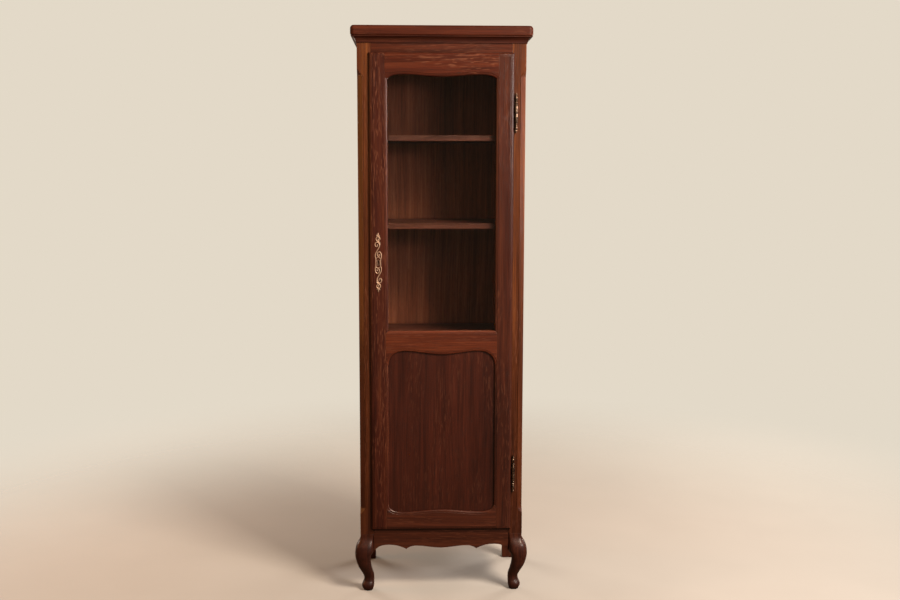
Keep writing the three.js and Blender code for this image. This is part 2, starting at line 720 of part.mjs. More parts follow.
// The whole door frame before it is divided into its stiles and rails.
function doorFrame() {
  const keepFront = box([-HALF, HALF], [DOOR_FACE - 1, LIP_BACK], [0, HEIGHT]);
  const moulded = lipLayer(
    DOOR_FACE + FIELD_RISE,
    LIP_BACK + 2 * OUTER_EDGE.round,
    { round: OUTER_EDGE.round },
    { round: OPENING_EDGE.round },
  );
  const fieldEdge = ({ inset }) => ({ round: 0.8, inset, roundSegments: 2 });
  const field = lipLayer(DOOR_FACE, LIP_BACK, fieldEdge(OUTER_EDGE), fieldEdge(OPENING_EDGE));
  const tongue = pierced(rectangle(TONGUE_LEFT, TONGUE_RIGHT, TONGUE_BOTTOM, TONGUE_TOP));
  const behind = extrude("y", tongue, LIP_BACK - 1, DOOR_BACK);
  const across = [-REBATE_HALF, REBATE_HALF];
  const rebate = box(across, [REBATE_FRONT, DOOR_BACK + 1], [REBATE_BOTTOM, REBATE_TOP]);
  const panelGroove = box(
    across,
    [DOOR_PANEL_FRONT - SLACK, DOOR_PANEL_FRONT + PANEL + SLACK],
    [DOOR_PANEL_BOTTOM - SLACK, DOOR_PANEL_TOP + SLACK],
  );
  const hingeSlots = Object.values(HINGE_CENTRES).map((centre) =>
    box(
      [LIP_HALF - LEAF_LENGTH - SLACK, LIP_HALF + 1],
      [HINGE_Y - LEAF_THICKNESS / 2 - SLACK, HINGE_Y + LEAF_THICKNESS / 2 + SLACK],
      [centre - SLACK, centre + KNUCKLE_LENGTH + SLACK],
    ),
  );
  const cuts = [rebate, panelGroove, extrude("y", keyhole(), DOOR_FACE - 1, DOOR_BACK + 1), ...hingeSlots];
  const solid = moulded.add(field).intersect(keepFront).add(behind);
  return cuts.reduce((frame, cut) => frame.subtract(cut), solid);
}

// Where a rail lies in the door: between the stiles, its ends mitred to the depth of the moulding.
function railRegion(bottom, mitreBottom, top, mitreTop, grow) {
  const inner = OPENING_HALF + grow;
  const outer = REBATE_HALF + grow;
  const right = [
    [mitreBottom ? inner : outer, bottom - grow],
    [outer, bottom - grow + (mitreBottom ? MITRE : 0)],
    [outer, top + grow - (mitreTop ? MITRE : 0)],
    [mitreTop ? inner : outer, top + grow],
  ].filter(([x, z], i, all) => i === 0 || x !== all[i - 1][0] || z !== all[i - 1][1]);
  const left = right.map(([x, z]) => [-x, z]).reverse();
  return extrude("y", [...right, ...left], DOOR_FACE - 1, DOOR_BACK + 1);
}

const DOOR_RAILS = {
  bottom: [LIP_BOTTOM - 1, false, PANEL_BOTTOM_CORNER, true],
  mid: [PANEL_TOP_CORNER, true, GLASS_BOTTOM, true],
  top: [GLASS_CORNER, true, LIP_TOP + 1, false],
};

function doorMembers() {
  const frame = doorFrame();
  const halves = {
    lock: box([-HALF, 0], [DOOR_FACE - 1, DOOR_BACK + 1], [0, HEIGHT]),
    hinge: box([0, HALF], [DOOR_FACE - 1, DOOR_BACK + 1], [0, HEIGHT]),
  };
  const cutRail = (rest, span) => rest.subtract(railRegion(...span, JOINT));
  const stiles = Object.values(DOOR_RAILS).reduce(cutRail, frame);
  const members = {};
  for (const [name, half] of Object.entries(halves)) {
    members[`door_${name}_stile`] = stiles.intersect(half);
  }
  for (const [name, span] of Object.entries(DOOR_RAILS)) {
    members[`door_${name}_rail`] = frame.intersect(railRegion(...span, 0));
  }
  return members;
}
for (const [name, solid] of Object.entries(doorMembers())) {
  add(door, name, MATERIALS.oakFrame, solid);
}

const doorPanel = box(
  [-REBATE_HALF + SLACK, REBATE_HALF - SLACK],
  [DOOR_PANEL_FRONT, DOOR_PANEL_FRONT + PANEL],
  [DOOR_PANEL_BOTTOM, DOOR_PANEL_TOP],
);
add(door, "door_panel", MATERIALS.oakPanel, doorPanel);

const GLASS_Y = [REBATE_FRONT + SLACK, REBATE_FRONT + SLACK + GLASS_THICKNESS];
const PANE_HALF = REBATE_HALF - 0.5;
const PANE_Z = [REBATE_BOTTOM + 0.5, REBATE_TOP - 0.5];
add(door, "door_glass", MATERIALS.glass, box([-PANE_HALF, PANE_HALF], GLASS_Y, PANE_Z));

// Four square beads hold the pane in its rebate from behind.
const BEAD_Y = [GLASS_Y[1] + SLACK, DOOR_BACK - SLACK];
const beadEnd = PANE_HALF - BEAD - JOINT;
addPair(door, "glazing_bead", MATERIALS.oakFrame, box([PANE_HALF - BEAD, PANE_HALF], BEAD_Y, PANE_Z));
for (const [name, bottom] of [
  ["bottom", PANE_Z[0]],
  ["top", PANE_Z[1] - BEAD],
]) {
  const bead = box([-beadEnd, beadEnd], BEAD_Y, [bottom, bottom + BEAD]);
  add(door, `glazing_bead_${name}`, MATERIALS.oakFrame, bead);
}

// ---------------------------------------------------------------- hinges

// Half of a finialled hinge about the Z axis: a bored knuckle above the origin, capped by a turned finial.
function knuckleAndFinial() {
  const neck = KNUCKLE_LENGTH;
  const tip = KNUCKLE_LENGTH + FINIAL_LENGTH;
  return [
    [0, PIN_REACH + 1],
    [BORE_RADIUS, PIN_REACH + 1],
    [BORE_RADIUS, SLACK],
    [KNUCKLE_RADIUS - 0.6, SLACK],
    [KNUCKLE_RADIUS, SLACK + 0.8],
    [KNUCKLE_RADIUS, neck - 2],
    [KNUCKLE_RADIUS - 0.8, neck],
    [3.4, neck + 1.5],
    [4.9, neck + 3.5],
    [4.9, neck + 5],
    [3, neck + 7],
    [3.4, neck + 10],
    [4.7, neck + 15],
    [4.9, neck + 19],
    [4.2, neck + 23],
    [2.6, neck + 27],
    [2.2, neck + 28.5],
    [3.2, neck + 30.5],
    [3.3, neck + 33],
    [2, neck + 36.5],
    [0, tip],
  ];
}

function hingeHalf(leaf, upward) {
  const profile = knuckleAndFinial();
  const up = turn(profile);
  const half = upward ? up : toSolid(toGeometry(up).rotateX(Math.PI));
  return half.add(leaf);
}

const leafZ = { up: [SLACK, KNUCKLE_LENGTH], down: [-KNUCKLE_LENGTH, -SLACK] };
const leafStart = BORE_RADIUS + 1;
const halfLeaf = LEAF_THICKNESS / 2;
const postReach = FRONT + LEAF_LENGTH - HINGE_Y;
const doorReach = HINGE_X - LIP_HALF + LEAF_LENGTH;
const postLeaf = box([-halfLeaf, halfLeaf], [leafStart, postReach], leafZ.down);
const doorLeaf = box([-doorReach, -leafStart], [-halfLeaf, halfLeaf], leafZ.up);
const pin = turn([
  [0, -PIN_REACH],
  [PIN_RADIUS, -PIN_REACH],
  [PIN_RADIUS, PIN_REACH],
  [0, PIN_REACH],
]);
for (const [name, centre] of Object.entries(HINGE_CENTRES)) {
  const position = [HINGE_X, HINGE_Y, centre];
  add(carcass, `${name}_hinge_post_half`, MATERIALS.brass, hingeHalf(postLeaf, false), position);
  add(carcass, `${name}_hinge_pin`, MATERIALS.steel, pin, position);
  add(door, `${name}_hinge_door_half`, MATERIALS.brass, hingeHalf(doorLeaf, true), position);
}

// ---------------------------------------------------------------- lock

// The escutcheon's right edge from its bottom point to its top one, as [distance from the middle, height].
const ESCUTCHEON_EDGE = [
  [0.8, -97],
  [4, -88],
  [9, -77],
  [10.5, -62],
  [6, -50],
  [10.5, -38],
  [9, -24],
  [12, -8],
  [12, 10],
  [9, 26],
  [10.5, 40],
  [6, 52],
  [10.5, 64],
  [9, 79],
  [4, 90],
  [0.8, 97],
];

function escutcheon() {
  const shape = new THREE.Shape();
  const right = ESCUTCHEON_EDGE.map(([x, z]) => new THREE.Vector2(KEY_X + x, KEY_Z + z));
  const left = ESCUTCHEON_EDGE.map(([x, z]) => new THREE.Vector2(KEY_X - x, KEY_Z + z)).reverse();
  shape.moveTo(right[0].x, right[0].y);
  shape.splineThru(right.slice(1));
  shape.lineTo(left[0].x, left[0].y);
  shape.splineThru(left.slice(1));
  shape.closePath();
  const back = DOOR_FACE - 0.2;
  const plate = extrude("y", shape, back - ESCUTCHEON_THICKNESS, back, { curveSegments: 3 });
  return plate.subtract(extrude("y", keyhole(), back - 5, back + 5));
}
add(door, "escutcheon", MATERIALS.brass, escutcheon());

function lockCase() {
  const block = box(
    [LOCK_END, LOCK_END + LOCK.width],
    [DOOR_BACK + JOINT, DOOR_BACK + JOINT + LOCK.thickness],
    [KEY_Z - LOCK.height / 2, KEY_Z + LOCK.height / 2],
  );
  const channel = box(
    [LOCK_END - 1, LOCK_END + BOLT.length + 1.5],
    [BOLT_Y - BOLT.thickness / 2 - SLACK, BOLT_Y + BOLT.thickness / 2 + SLACK],
    [KEY_Z - BOLT.height / 2 - SLACK, KEY_Z + BOLT.height / 2 + SLACK],
  );
  return block.subtract(channel);
}
add(door, "lock_case", MATERIALS.steel, lockCase());

const lockBolt = box(
  [LOCK_END + 0.5, LOCK_END + 0.5 + BOLT.length],
  [BOLT_Y - BOLT.thickness / 2, BOLT_Y + BOLT.thickness / 2],
  [KEY_Z - BOLT.height / 2, KEY_Z + BOLT.height / 2],
);
add(door, "lock_bolt", MATERIALS.steel, lockBolt);

export default cabinet;
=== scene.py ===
"""Looks for the tall display cabinet: stained oak with its grain, aged brass, old glass, and the finely
modelled legs, hinges, escutcheon and screws. Everything is in metres, in the CAD model's frame."""

import math
from collections import namedtuple

import bmesh
import bpy
from mathutils import Matrix, Vector


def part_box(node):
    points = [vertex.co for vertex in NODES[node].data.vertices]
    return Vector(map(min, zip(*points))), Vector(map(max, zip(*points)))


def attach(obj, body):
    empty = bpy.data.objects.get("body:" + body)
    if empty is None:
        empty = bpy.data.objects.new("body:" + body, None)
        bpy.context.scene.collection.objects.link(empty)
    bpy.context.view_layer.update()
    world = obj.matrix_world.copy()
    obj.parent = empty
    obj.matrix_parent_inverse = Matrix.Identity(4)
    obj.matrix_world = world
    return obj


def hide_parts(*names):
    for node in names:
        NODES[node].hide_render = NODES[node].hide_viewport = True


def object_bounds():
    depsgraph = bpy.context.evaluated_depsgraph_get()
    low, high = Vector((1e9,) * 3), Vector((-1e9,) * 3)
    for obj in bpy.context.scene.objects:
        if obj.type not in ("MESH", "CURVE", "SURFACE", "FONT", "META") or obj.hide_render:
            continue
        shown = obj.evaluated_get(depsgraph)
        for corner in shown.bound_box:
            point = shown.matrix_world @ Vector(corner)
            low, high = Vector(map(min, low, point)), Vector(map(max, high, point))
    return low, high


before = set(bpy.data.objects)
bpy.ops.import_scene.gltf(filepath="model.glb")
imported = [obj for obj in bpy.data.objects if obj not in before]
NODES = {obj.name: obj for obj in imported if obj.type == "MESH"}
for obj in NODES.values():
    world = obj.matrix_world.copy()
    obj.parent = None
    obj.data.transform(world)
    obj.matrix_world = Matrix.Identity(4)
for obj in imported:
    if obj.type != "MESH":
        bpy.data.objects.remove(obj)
CAD_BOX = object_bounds()
MM = 0.001
TOP = CAD_BOX[1].z


def colour(code, strength=1.0):
    """The linear colour of a hex sRGB code."""
    parts = [int(code[i : i + 2], 16) / 255 for i in (0, 2, 4)]
    linear = [p / 12.92 if p <= 0.04045 else ((p + 0.055) / 1.055) ** 2.4 for p in parts]
    return (*[p * strength for p in linear], 1.0)


# ------------------------------------------------------------------ materials


def straight_look(tree):
    """1 for light that reaches the eye directly or through glass, and 0 for light that lights things."""
    depths = tree.node("ShaderNodeLightPath").outputs
    bounces = tree.math("ADD", depths["Diffuse Depth"], depths["Glossy Depth"])
    return tree.math("LESS_THAN", bounces, 0.5)


class Tree:
    """The nodes of a new material, or of an owner such as the world. Most methods return a node's socket."""

    def __init__(self, name, owner=None):
        self.owner = owner or bpy.data.materials.new(name)
        self.owner.use_nodes = True
        self.nodes = self.owner.node_tree.nodes
        self.links = self.owner.node_tree.links
        self.nodes.clear()

    def node(self, kind, inputs=None, **settings):
        made = self.nodes.new(kind)
        for name, value in settings.items():
            setattr(made, name, value)
        self.feed(made, inputs or {})
        return made

    def feed(self, made, inputs):
        """Links or sets a node's inputs, each from a socket or to a value."""
        for key, value in inputs.items():
            if isinstance(value, bpy.types.NodeSocket):
                self.links.new(value, made.inputs[key])
            else:
                made.inputs[key].default_value = value

    def place(self):
        return self.node("ShaderNodeTexCoord").outputs["Object"]

    def vector(self, operation, a, b):
        return self.node("ShaderNodeVectorMath", {0: a, 1: b}, operation=operation).outputs[0]

    def math(self, operation, a, b=0.0):
        return self.node("ShaderNodeMath", {0: a, 1: b}, operation=operation).outputs[0]

    def noise(self, where, stretch, detail=2.0, roughness=0.5, distortion=0.0, output="Fac"):
        scaled = self.vector("MULTIPLY", where, stretch)
        inputs = {
            "Vector": scaled,
            "Scale": 1.0,
            "Detail": detail,
            "Roughness": roughness,
            "Distortion": distortion,
        }
        return self.node("ShaderNodeTexNoise", inputs).outputs[output]

    def shifted(self, where, stretch, reach):
        """where, pushed sideways by up to half of reach by soft noise, so that lines along Z wander."""
        push = self.vector("SUBTRACT", self.noise(where, stretch, detail=1, output="Color"), (0.5, 0.5, 0.5))
        return self.vector("ADD", where, self.vector("MULTIPLY", push, (reach, reach, 0)))

    def between(self, value, low, high, to_low=0.0, to_high=1.0):
        """value from low to high, taken smoothly to the range from to_low to to_high and held at its ends."""
        inputs = {"Value": value, 1: low, 2: high, 3: to_low, 4: to_high}
        made = self.node("ShaderNodeMapRange", inputs, interpolation_type="SMOOTHSTEP")
        return made.outputs[0]

    def mix(self, factor, a, b, blend="MIX"):
        made = self.node("ShaderNodeMix", data_type="RGBA", blend_type=blend)
        self.feed(made, {0: factor, 6: a, 7: b})
        return made.outputs[2]

    def ramp(self, factor, stops):
        made = self.node("ShaderNodeValToRGB", {"Fac": factor})
        elements = made.color_ramp.elements
        while len(elements) < len(stops):
            elements.new(0.5)
        for element, (position, value) in zip(elements, stops):
            element.position = position
            element.color = value
        return made.outputs["Color"]

    def tinted(self, look, factor, low, high):
        """look times a tint that goes from one to another as factor passes from low's position to high's."""
        tint = self.ramp(factor, [(position, (*value, 1.0)) for position, value in (low, high)])
        return self.mix(1.0, look, tint, "MULTIPLY")

    def edges(self, radius):
        """How far the surface turns within radius: near 0 on flat faces and up to 1 along edges."""
        rounded = self.node("ShaderNodeBevel", {"Radius": radius}, samples=4).outputs["Normal"]
        plain = self.node("ShaderNodeNewGeometry").outputs["Normal"]
        dot = self.node("ShaderNodeVectorMath", {0: rounded, 1: plain}, operation="DOT_PRODUCT")
        return self.math("SUBTRACT", 1.0, dot.outputs["Value"])

    def openness(self, distance):
        """1 where nothing is near the surface, falling to 0 deep in corners and gaps."""
        inputs = {"Distance": distance}
        return self.node("ShaderNodeAmbientOcclusion", inputs, samples=6).outputs["AO"]

    def bump(self, height, strength, distance):
        inputs = {"Height": height, "Strength": strength, "Distance": distance}
        return self.node("ShaderNodeBump", inputs).outputs["Normal"]

    def finish(self, inputs):
        shader = self.node("ShaderNodeBsdfPrincipled", inputs)
        self.node("ShaderNodeOutputMaterial", {"Surface": shader.outputs["BSDF"]})
        return self.owner


Tone = namedtuple("Tone", "dark middle light fleck rough wax")
# The oak's tones: three colours from the dark to the light of the grain, how strongly the ray flecks show,
# the roughness, and how much wax lies on it.
TONES = {
    "post": Tone("381809", "5c2f15", "7a4824", 0.35, 0.36, 0.14),
    "lock_side": Tone("2e110c", "431d13", "5c301d", 0.42, 0.38, 0.08),
    "hinge_side": Tone("2c110a", "401b10", "552a18", 0.22, 0.31, 0.26),
    "rail": Tone("34130a", "4a1e10", "66351f", 0.5, 0.33, 0.12),
    "mid": Tone("3e180c", "542412", "67321b", 0.2, 0.36, 0.2),
    "low": Tone("381910", "512819", "653624", 0.3, 0.36, 0.2),
    "frieze": Tone("2f1308", "451d0f", "582a18", 0.35, 0.36, 0.12),
    "cap": Tone("34120a", "4c2112", "60301e", 0.25, 0.46, 0.0),
    # The cove's colours are darkened as painted shade under the cap's overhang.
    "cove": Tone("2e100a", "421c10", "552b1a", 0.1, 0.4, 0.1),
    "apron": Tone("32160d", "4c2617", "603523", 0.3, 0.38, 0.15),
    "leg": Tone("24110b", "3d1c13", "532c1e", 0.1, 0.4, 0.14),
    "panel": Tone("2d110b", "3c1910", "481f14", 0.15, 0.34, 0.2),
    "side": Tone("34160d", "4f2616", "663820", 0.35, 0.4, 0.15),
    "back": Tone("43200f", "653420", "7a4630", 0.25, 0.55, 0.0),
    "interior": Tone("22100a", "3a1b11", "4c2518", 0.1, 0.5, 0.0),
}
UNTOUCHED = ("interior", "back")
WORN = colour("8a5230")
FLECK = colour("83523c")
GRAIN_ORDER = {"X": (1, 2, 0), "Y": (2, 0, 1), "Z": (0, 1, 2)}


def oak(tone, axis, seed):
    """Stained, waxed oak whose grain runs along an axis. seed moves the pattern."""
    kind = TONES[tone]
    tree = Tree(f"oak_{tone}_{axis}_{seed}")
    place = tree.place()
    above_floor = tree.node("ShaderNodeSeparateXYZ", {0: place}).outputs[2]
    moved = tree.vector("ADD", place, (0.37 * seed, 0.73 * seed, 1.91 * seed))
    parts = tree.node("ShaderNodeSeparateXYZ", {0: moved}).outputs
    along = {i: parts[k] for i, k in enumerate(GRAIN_ORDER[axis])}
    board = tree.node("ShaderNodeCombineXYZ", along).outputs[0]
    grain = tree.shifted(board, (2.2, 2.2, 0.9), 0.06)

    bands = tree.noise(grain, (52, 52, 1.0), detail=5, roughness=0.68)
    streaks = tree.noise(grain, (270, 270, 4.5), detail=2, roughness=0.6)
    pores = tree.between(tree.noise(grain, (1000, 1000, 34), detail=1), 0.6, 0.72)
    waved = tree.shifted(grain, (48, 48, 16), 0.009)
    flecks = tree.between(tree.noise(waved, (320, 320, 24), detail=1), 0.56, 0.66)
    figured = tree.between(tree.noise(board, (16, 16, 3), detail=1), 0.38, 0.6)
    flecks = tree.math("MULTIPLY", flecks, figured)
    shade = tree.noise(board, (5, 5, 1.4), detail=2)

    stops = ((0.28, kind.dark), (0.5, kind.middle), (0.74, kind.light))
    look = tree.ramp(bands, [(position, colour(code)) for position, code in stops])
    look = tree.tinted(look, streaks, (0.3, (0.7, 0.68, 0.67)), (0.7, (1.28, 1.28, 1.28)))
    look = tree.tinted(look, shade, (0.3, (0.82, 0.78, 0.78)), (0.7, (1.16, 1.18, 1.16)))
    look = tree.mix(tree.math("MULTIPLY", flecks, kind.fleck), look, FLECK)
    look = tree.mix(tree.math("MULTIPLY", pores, 0.5), look, colour("120704"))
    # Painted shade: the oak's colour darkens towards the floor, where less light falls.
    tarnish_and_floor_shade = tree.between(above_floor, 0.05, 1.0)
    look = tree.tinted(look, tarnish_and_floor_shade, (0.0, (0.72, 0.62, 0.56)), (1.0, (1.0, 1.0, 1.0)))
    if tone == "leg":
        knee = tree.between(above_floor, 0.15, 0.204)
        look = tree.tinted(look, knee, (0.0, (1.0, 1.0, 1.0)), (1.0, (1.3, 1.35, 1.2)))
    if tone == "post":
        knee = tree.between(above_floor, 0.2, 0.42)
        look = tree.tinted(look, knee, (0.0, (0.6, 0.58, 0.75)), (1.0, (1.0, 1.0, 1.0)))
    if tone not in UNTOUCHED:
        rubbed = tree.between(tree.edges(1.6 * MM), 0.03, 0.2)
        rubbed = tree.math("MULTIPLY", rubbed, tree.between(shade, 0.35, 0.65))
        look = tree.mix(tree.math("MULTIPLY", rubbed, 0.35), look, WORN)
    # Dirt and painted shade: the oak darkens towards near-black in corners and gaps, where little light
    # reaches.
    dirt_and_painted_shade = tree.between(tree.openness(14 * MM), 0.25, 0.85, 0.68, 0.0)
    look = tree.mix(dirt_and_painted_shade, look, colour("0d0503"))

    rough = tree.math("ADD", tree.math("MULTIPLY", pores, 0.18), kind.rough - 0.06)
    hand = tree.noise(board, (14, 14, 6), detail=3)
    rough = tree.math("ADD", rough, tree.math("MULTIPLY", hand, 0.14))
    if tone == "cap":
        dusty = tree.between(above_floor, TOP - 1.5 * MM, TOP - 0.5 * MM)
        look = tree.mix(tree.math("MULTIPLY", dusty, 0.35), look, colour("6b5a4a"))
        rough = tree.math("ADD", rough, tree.math("MULTIPLY", dusty, 0.4))
    height = tree.math("SUBTRACT", tree.math("MULTIPLY", streaks, 0.5), pores)
    return tree.finish(
        {
            "Base Color": look,
            "Roughness": rough,
            "Normal": tree.bump(height, 0.35, 0.25 * MM),
            "Coat Weight": kind.wax,
            "Coat Roughness": 0.16,
            "Specular IOR Level": 0.15 + 0.8 * kind.wax,
        }
    )


def metal(name, base, tarnish, roughness, cover=0.5, metallic=1.0):
    """Old metal, bright where it stands proud and tarnished in its hollows. cover is the tarnished share."""
    tree = Tree(name)
    place = tree.place()
    cloud = tree.noise(place, (180, 180, 180), detail=4, roughness=0.6)
    fine = tree.noise(place, (900, 900, 900), detail=2)
    hollow = tree.between(tree.openness(5 * MM), 0.45, 0.95, 0.3, -0.12)
    tarnish_and_floor_shade = tree.math("ADD", cloud, hollow)
    look = tree.mix(tree.between(tarnish_and_floor_shade, 0.72 - cover, 1.0 - cover), colour(base), colour(tarnish))
    rubbed = tree.between(tree.edges(0.7 * MM), 0.05, 0.3)
    look = tree.mix(tree.math("MULTIPLY", rubbed, 0.5), look, colour(base, 1.3))
    rough = tree.between(cloud, 0.3, 0.7, roughness - 0.08, roughness + 0.14)
    return tree.finish(
        {
            "Base Color": look,
            "Metallic": metallic,
            "Roughness": rough,
            "Normal": tree.bump(fine, 0.25, 0.08 * MM),
        }
    )


def old_glass():
    """A clear pane of old glass, slightly wavy."""
    tree = Tree("glass_pane")
    waves = tree.noise(tree.place(), (9, 9, 5), detail=1)
    return tree.finish(
        {
            "Base Color": colour("f5faf7"),
            "Roughness": 0.0,
            "IOR": 1.3,
            "Transmission Weight": 1.0,
            "Normal": tree.bump(waves, 0.12, 2 * MM),
        }
    )


BRASS = metal("brass_pale", "cfae94", "6b4c38", 0.42, cover=0.2, metallic=0.75)
DARK_BRASS = metal("brass_dark", "a48a75", "1a100b", 0.33, cover=0.5)
STEEL = metal("steel_dull", "7d7a76", "3a332e", 0.42)

# ------------------------------------------------------------------ the CAD's own pieces

# Tone and grain direction of each wooden CAD node.
WOOD = {
    ("post", "Z"): ["front_post_left", "front_post_right"],
    ("side", "Z"): [
        "rear_post_left",
        "rear_post_right",
        "side_panel_lower_left",
        "side_panel_lower_right",
        "side_panel_upper_left",
        "side_panel_upper_right",
    ],
    ("lock_side", "Z"): ["door_lock_stile"],
    ("hinge_side", "Z"): ["door_hinge_stile"],
    ("rail", "X"): ["door_top_rail"],
    ("mid", "X"): ["door_mid_rail"],
    ("low", "X"): ["door_bottom_rail"],
    ("panel", "Z"): ["door_panel"],
    ("frieze", "X"): ["frieze_rail"],
    ("cap", "X"): ["top_board"],
    ("cove", "X"): ["cornice_cove_front"],
    ("cove", "Y"): ["cornice_cove_left", "cornice_cove_right"],
    ("apron", "X"): ["front_apron"],
    ("side", "Y"): [
        "side_apron_left",
        "side_apron_right",
        "side_mid_rail_left",
        "side_mid_rail_right",
        "side_top_rail_left",
        "side_top_rail_right",
    ],
    ("back", "X"): ["back_bottom_rail", "back_mid_rail", "back_top_rail"],
    ("back", "Z"): ["back_panel_lower", "back_panel_upper"],
    ("interior", "Z"): ["glazing_bead_left", "glazing_bead_right"],
    ("interior", "X"): [
        "floor_board",
        "shelf_top",
        "shelf_second",
        "shelf_divider",
        "shelf_lower",
        "glazing_bead_bottom",
        "glazing_bead_top",
    ],
    ("interior", "Y"): [
        f"shelf_cleat_{board}_{side}" for board in ("top", "second", "lower") for side in ("left", "right")
    ],
}


def soften(node, width):
    """Rounds a CAD node's sharp edges a little, with smooth shading that keeps its faces flat."""
    for face in node.data.polygons:
        face.use_smooth = True
    weld = node.modifiers.new("weld", "WELD")
    weld.merge_threshold = 0.01 * MM
    flat = node.modifiers.new("flat_faces", "DECIMATE")
    flat.decimate_type = "DISSOLVE"
    flat.angle_limit = math.radians(0.5)
    bevel = node.modifiers.new("soft_edges", "BEVEL")
    bevel.width = width
    bevel.segments = 2
    bevel.limit_method = "ANGLE"
    bevel.angle_limit = math.radians(32)
    bevel.harden_normals = True
    node.modifiers.new("normals", "WEIGHTED_NORMAL")


def repaint(node, material):
    for slot in node.material_slots:
        slot.material = material


for (tone, axis), names in WOOD.items():
    for i, name in enumerate(names):
        repaint(NODES[name], oak(tone, axis, i + 1))
        soften(NODES[name], 0.55 * MM)
for name in ("strike_plate", "lock_case", "lock_bolt", "upper_hinge_pin", "lower_hinge_pin"):
    repaint(NODES[name], BRASS if name == "strike_plate" else STEEL)
    soften(NODES[name], 0.3 * MM)
repaint(NODES["door_glass"], old_glass())
NODES["door_glass"].visible_shadow = False

# ------------------------------------------------------------------ finely modelled pieces


def make(name, mesh, material, body, stands_for=()):
    """An object from a bmesh, smooth shaded, that rides on a body."""
    data = bpy.data.meshes.new(name)
    for face in mesh.faces:
        face.smooth = True
    mesh.to_mesh(data)
    mesh.free()
    piece = bpy.data.objects.new(name, data)
    bpy.context.scene.collection.objects.link(piece)
    data.materials.append(material)
    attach(piece, body)
    if stands_for:
        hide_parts(*stands_for)
    return piece


def skin(mesh, rings, closed=False):
    """Joins rings of points with quads. If closed, the last joins the first, or else both ends are filled."""
    rows = [[mesh.verts.new(point) for point in ring] for ring in rings]
    count = len(rows[0])
    pairs = list(zip(rows, rows[1:])) + ([(rows[-1], rows[0])] if closed else [])
    for low, high in pairs:
        for i in range(count):
            j = (i + 1) % count
            mesh.faces.new((low[i], low[j], high[j], high[i]))
    if not closed:
        mesh.faces.new(rows[0][::-1])
        mesh.faces.new(rows[-1])


def turned(mesh, profile, centre, sides=40, flip=1):
    """Turns a profile of (radius, height) about the vertical line through centre. flip of -1 hangs it."""
    rings = []
    for radius, height in profile:
        angles = [2 * math.pi * i / sides * flip for i in range(sides)]
        ring = [Vector((radius * math.cos(a), radius * math.sin(a), height * flip)) for a in angles]
        rings.append([centre + point * MM for point in ring])
    skin(mesh, rings)


def smooth_curve(points, steps):
    """Points on a Catmull-Rom curve through the points given, steps to each span."""
    points = [Vector(p) for p in points]
    ends = [2 * points[0] - points[1], *points, 2 * points[-1] - points[-2]]
    found = []
    for a, b, c, d in zip(ends, ends[1:], ends[2:], ends[3:]):
        for i in range(steps):
            t = i / steps
            bend = (2 * a - 5 * b + 4 * c - d) * t**2
            twist = (3 * b - a - 3 * c + d) * t**3
            found.append(0.5 * ((2 * b) + (c - a) * t + bend + twist))
    return [*found, points[-1]]


# Stations up the right front leg, in millimetres: height, inner edge, outer edge, squareness of the section.
LEG_STATIONS = [
    (0, 236.5, 265, 2.4),
    (1.5, 235.6, 267, 2.4),
    (6, 234, 269.5, 2.4),
    (13, 232, 272.5, 2.4),
    (20, 231.2, 273, 2.4),
    (27, 230.9, 270.6, 2.3),
    (34, 230.8, 267, 2.2),
    (45, 230.7, 265.6, 2.2),
    (57, 231.7, 269.3, 2.2),
    (72, 236, 276.5, 2.3),
    (84, 238.6, 282.5, 2.4),
    (95, 240.8, 286.8, 2.5),
    (108, 242.2, 290.5, 2.6),
    (120, 241.8, 293.4, 2.7),
    (130, 239.6, 294.8, 2.8),
    (139, 233.4, 295, 2.9),
    (147, 231, 294.6, 3),
    (161, 230.9, 291.8, 3.1),
    (172, 230.9, 286.6, 3.3),
    (180, 230.9, 281.2, 3.8),
    (187, 230.9, 277.8, 5),
    (194, 230.9, 276.3, 7.5),
    (202, 230.9, 276, 12),
    (204, 231.4, 275.5, 12),
]
POST_LOW, POST_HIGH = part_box("front_post_right")


def leg_rings(side):
    """Rings of the leg on one side: squarish sections that lean out along the corner's diagonal."""
    corner = POST_HIGH.x + POST_LOW.y
    sides = 56
    rings = []
    for height, inner, outer, square in smooth_curve(LEG_STATIONS, 4):
        half = (outer - inner) / 2 * MM
        x = (outer + inner) / 2 * MM
        ring = []
        for k in range(sides):
            angle = 2 * math.pi * (k + 0.5) / sides
            round_to = (math.cos(angle), math.sin(angle))
            reach = [math.copysign(abs(c) ** (2 / square), c) * half for c in round_to]
            ring.append(Vector((side * (x + reach[0]), corner - x + reach[1], height * MM)))
        rings.append(ring if side > 0 else ring[::-1])
    return rings


for i, (label, side) in enumerate((("left", -1), ("right", 1))):
    leg = bmesh.new()
    skin(leg, leg_rings(side))
    bmesh.ops.recalc_face_normals(leg, faces=leg.faces)
    wood = oak("leg", "Z", 11 + i)
    made = make(f"cabriole_leg_{label}", leg, wood, "carcass", [f"front_leg_{label}"])
    made.modifiers.new("normals", "WEIGHTED_NORMAL")

# ------------------------------------------------------------------ hinges

# Half a hinge from the joint between its knuckles to its tip: each swelling's radius and length in
# millimetres, how square it is, and how far its widest place lies towards the tip.
TURNINGS = [
    (5.5, 23.4, 14, 1.0),
    (5.4, 3.8, 2.4, 1.0),
    (4.3, 3.4, 2.2, 1.0),
    (4.9, 5.4, 2.2, 1.0),
    (4.9, 17.6, 1.9, 1.5),
    (3.7, 5.4, 2.2, 1.0),
    (2.6, 5.6, 1.7, 0.6),
]
NECK = 2.2
HINGE_JOINT = 0.3  # half of the gap between the two halves' knuckles


